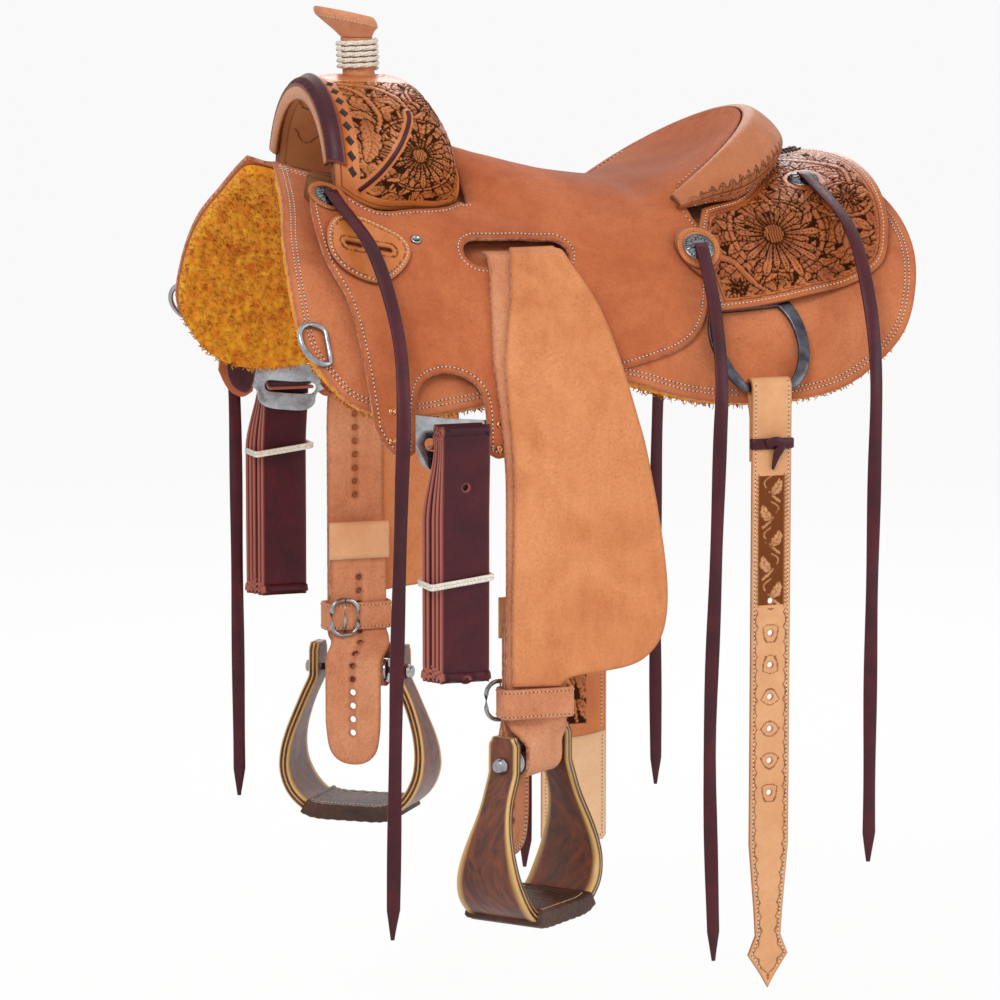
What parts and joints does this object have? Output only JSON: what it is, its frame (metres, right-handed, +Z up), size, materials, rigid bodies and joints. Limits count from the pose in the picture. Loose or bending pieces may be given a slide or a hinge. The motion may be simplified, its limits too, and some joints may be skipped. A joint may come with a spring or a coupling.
{
  "type": "ranch roping saddle",
  "caption": "Western ranch roping saddle with swell fork, roping horn, dished seat and rolled cantle, hanging fenders and stirrups, rear jockeys, fleece-lined skirts and rigging straps.",
  "frame": {"origin": "on the saddle's centre plane, where the saddle rack or the horse's back carries it: under the seat slots, at the height of the seat's lowest leather", "axes": "+X towards the tail, +Y towards the horse's off (right) side, +Z up; the near (left) side is at negative Y"},
  "size_m": [0.6801, 0.7012, 0.998],
  "materials": {
    "roughout": "rough-out, matt nap",
    "tan_leather": "smooth vegetable-tanned, satin, carved in places",
    "dark_tan_leather": "carved, antiqued, satin",
    "burgundy_latigo": "oiled latigo, satin",
    "billet_leather": "smooth skirting, satin",
    "fleece": "dense curly wool, matt",
    "tree_wood": "plain, under the leather",
    "stirrup_wood": "laminated, high varnish",
    "tread_leather": "worn, dark",
    "bright_steel": "brushed stainless",
    "dark_steel": "blued, polished",
    "white_cord": "braided cord, matt"
  },
  "bodies": {
    "saddle": {"near_tree_bar": "tree_wood", "off_tree_bar": "tree_wood", "tree_fork": "tree_wood", "tree_cantle": "tree_wood", "horn_neck": "tan_leather", "horn_cap": "tan_leather", "horn_wrap": "white_cord", "fork_cover": "tan_leather", "gullet_lip": "burgundy_latigo", "gullet_lining": "tan_leather", "seat_leather": "roughout", "cantle_back": "tan_leather", "near_skirt": "roughout", "off_skirt": "roughout", "near_fleece": "fleece", "off_fleece": "fleece", "near_rear_jockey": "dark_tan_leather", "off_rear_jockey": "dark_tan_leather", "near_rigging_leather": "tan_leather", "off_rigging_leather": "tan_leather", "near_rigging_plate": "bright_steel", "off_rigging_plate": "bright_steel", "near_keeper_patch": "tan_leather", "off_keeper_patch": "tan_leather", "near_seat_rosette": "tan_leather", "off_seat_rosette": "tan_leather", "near_front_concho": "dark_steel", "off_front_concho": "dark_steel", "near_seat_concho": "dark_steel", "off_seat_concho": "dark_steel", "near_back_concho": "dark_steel", "off_back_concho": "dark_steel", "near_rear_ring": "dark_steel", "off_rear_ring": "dark_steel", "near_front_string": "burgundy_latigo", "off_front_string": "burgundy_latigo", "near_seat_string": "burgundy_latigo", "off_seat_string": "burgundy_latigo", "near_back_string": "burgundy_latigo", "off_back_string": "burgundy_latigo"},
    "near_fender": {"near_fender": "roughout", "near_stirrup_leather": "tan_leather", "near_hobble_strap": "tan_leather", "near_hobble_buckle": "bright_steel"},
    "near_stirrup": {"near_stirrup": "stirrup_wood", "near_stirrup_bolt": "bright_steel", "near_tread_cover": "tread_leather"},
    "off_fender": {"off_fender": "roughout", "off_stirrup_leather": "tan_leather", "off_hobble_strap": "tan_leather", "off_hobble_buckle": "bright_steel"},
    "off_stirrup": {"off_stirrup": "stirrup_wood", "off_stirrup_bolt": "bright_steel", "off_tread_cover": "tread_leather"},
    "near_front_dee": {"near_front_dee": "bright_steel"},
    "off_front_dee": {"off_front_dee": "bright_steel"},
    "near_flank_billet": {"near_flank_billet": "billet_leather"},
    "off_flank_cinch": {"off_flank_cinch": "billet_leather"},
    "near_latigo": {"near_latigo": "burgundy_latigo"},
    "off_latigo": {"off_latigo": "burgundy_latigo"}
  },
  "joints": [
    {"name": "near_fender_swing", "type": "hinge", "parent": "saddle", "child": "near_fender", "pos_m": [-0.044, -0.16073, 0.02597], "axis": [-1, 0, 0], "range_deg": [0, 50]},
    {"name": "near_stirrup_turn", "type": "hinge", "parent": "near_fender", "child": "near_stirrup", "pos_m": [-0.066, -0.27115, -0.471], "axis": [0.788, 0.6157, 0], "range_deg": [-35, 35]},
    {"name": "near_front_dee_flip", "type": "hinge", "parent": "saddle", "child": "near_front_dee", "pos_m": [-0.263, -0.22748, -0.055], "axis": [0, 0.4742, 0.8804], "range_deg": [0, 60]},
    {"name": "near_flank_billet_swing", "type": "hinge", "parent": "saddle", "child": "near_flank_billet", "pos_m": [0.19, -0.27185, -0.10729], "axis": [-1, 0, 0], "range_deg": [0, 60]},
    {"name": "near_latigo_swing", "type": "hinge", "parent": "saddle", "child": "near_latigo", "pos_m": [-0.146, -0.26738, -0.15423], "axis": [-1, 0, 0], "range_deg": [0, 24]},
    {"name": "off_fender_swing", "type": "hinge", "parent": "saddle", "child": "off_fender", "pos_m": [-0.044, 0.16073, 0.02597], "axis": [1, 0, 0], "range_deg": [0, 50]},
    {"name": "off_stirrup_turn", "type": "hinge", "parent": "off_fender", "child": "off_stirrup", "pos_m": [-0.066, 0.27115, -0.471], "axis": [0.788, -0.6157, 0], "range_deg": [-35, 35]},
    {"name": "off_front_dee_flip", "type": "hinge", "parent": "saddle", "child": "off_front_dee", "pos_m": [-0.263, 0.22748, -0.055], "axis": [0, 0.4742, -0.8804], "range_deg": [0, 60]},
    {"name": "off_flank_cinch_swing", "type": "hinge", "parent": "saddle", "child": "off_flank_cinch", "pos_m": [0.19, 0.27185, -0.10729], "axis": [1, 0, 0], "range_deg": [0, 60]},
    {"name": "off_latigo_swing", "type": "hinge", "parent": "saddle", "child": "off_latigo", "pos_m": [-0.146, 0.26738, -0.15423], "axis": [1, 0, 0], "range_deg": [0, 24]}
  ]
}
